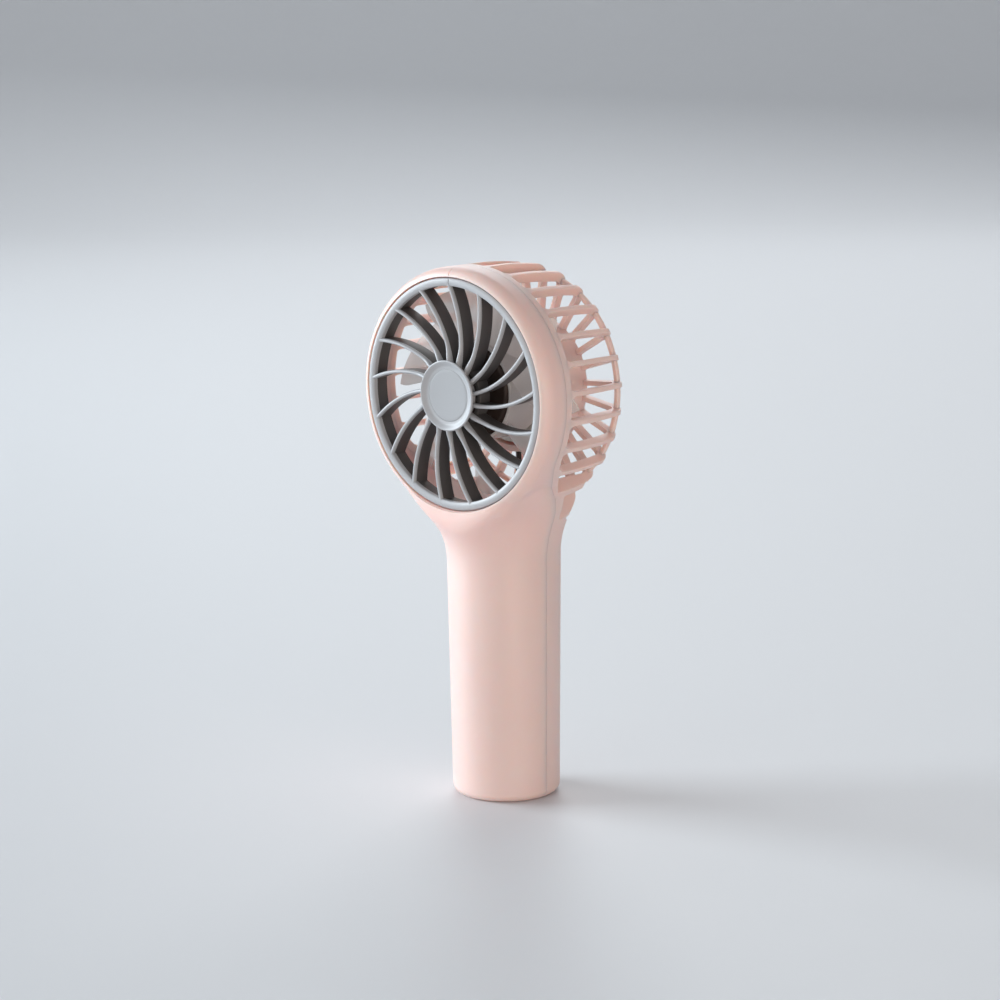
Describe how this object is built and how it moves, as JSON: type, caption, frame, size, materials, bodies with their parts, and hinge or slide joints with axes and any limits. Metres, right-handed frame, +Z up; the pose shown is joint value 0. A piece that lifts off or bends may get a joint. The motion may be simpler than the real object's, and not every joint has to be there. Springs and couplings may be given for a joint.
{
  "type": "handheld electric fan",
  "caption": "Battery-powered handheld electric fan with a round caged head, a swept-spoke front grille, a spinning rotor and a straight round handle.",
  "frame": {"origin": "centre of the flat round base under the handle, on the handle's axis", "axes": "+Z up along the handle's axis; -Y out of the front grille, along the fan's axis, the way the air leaves; +X to the right as seen from the front"},
  "size_m": [0.0694, 0.0389, 0.1499],
  "materials": {
    "pink_shell": "fine satin, moulded",
    "grille_grey": "satin, moulded",
    "satin_grey": "satin disc",
    "charcoal": "matt, moulded",
    "clear_blade": "translucent, moulded",
    "black_steel": "black coated steel cup",
    "bright_steel": "ground",
    "screw_steel": "zinc plated",
    "magnet": "sintered ferrite",
    "copper": null,
    "lamination": "stacked laminations",
    "white_plastic": "moulded",
    "green_board": "solder mask on glass-fibre board",
    "black_epoxy": "moulded chip package",
    "cell_wrap": "shrink wrap over the cell",
    "nickel": "nickel strip",
    "foam": "foam pad",
    "red_wire": "wire insulation",
    "black_wire": "wire insulation",
    "led": "lamp body"
  },
  "bodies": {
    "body": {"front_housing": "pink_shell", "rear_housing": "pink_shell", "stator_core": "lamination", "motor_base": "white_plastic", "motor_board": "green_board", "bearing_front": "bright_steel", "bearing_rear": "bright_steel", "battery_cell": "cell_wrap", "battery_tab_positive": "nickel", "battery_tab_negative": "nickel", "battery_pad": "foam", "battery_lead_positive": "red_wire", "battery_lead_negative": "black_wire", "motor_lead": "black_wire", "main_board": "green_board", "charge_chip": "black_epoxy", "motor_driver_chip": "black_epoxy", "status_led": "led", "usb_socket": "bright_steel", "usb_contact_tongue": "black_epoxy", "power_switch": "black_epoxy", "indicator_light": "clear_blade", "stator_coil_1": "copper", "stator_coil_2": "copper", "stator_coil_3": "copper", "stator_coil_4": "copper", "stator_coil_5": "copper", "stator_coil_6": "copper", "motor_screw_1": "screw_steel", "housing_screw_1": "screw_steel", "motor_screw_2": "screw_steel", "housing_screw_2": "screw_steel", "motor_screw_3": "screw_steel", "housing_screw_3": "screw_steel", "board_screw_1": "screw_steel", "board_screw_2": "screw_steel"},
    "rotor": {"impeller": "clear_blade", "rotor_can": "black_steel", "rotor_magnet": "magnet", "rotor_shaft": "bright_steel", "shaft_clip": "bright_steel"},
    "grille": {"front_grille": "grille_grey", "vane_insert": "charcoal", "centre_badge": "satin_grey"},
    "button": {"power_button": "grille_grey", "switch_plunger": "white_plastic"}
  },
  "joints": [
    {"name": "rotor_spin", "type": "hinge", "parent": "body", "child": "rotor", "pos_m": [0, 0, 0.1153], "axis": [0, -1, 0], "continuous": true},
    {"name": "grille_twist", "type": "hinge", "parent": "body", "child": "grille", "pos_m": [0, 0, 0.1153], "axis": [0, -1, 0], "range_deg": [0, 12]},
    {"name": "button_press", "type": "slide", "parent": "body", "child": "button", "axis": [0, -1, 0], "range_m": [0, 0.0005], "stiffness_N_per_m": 400}
  ]
}
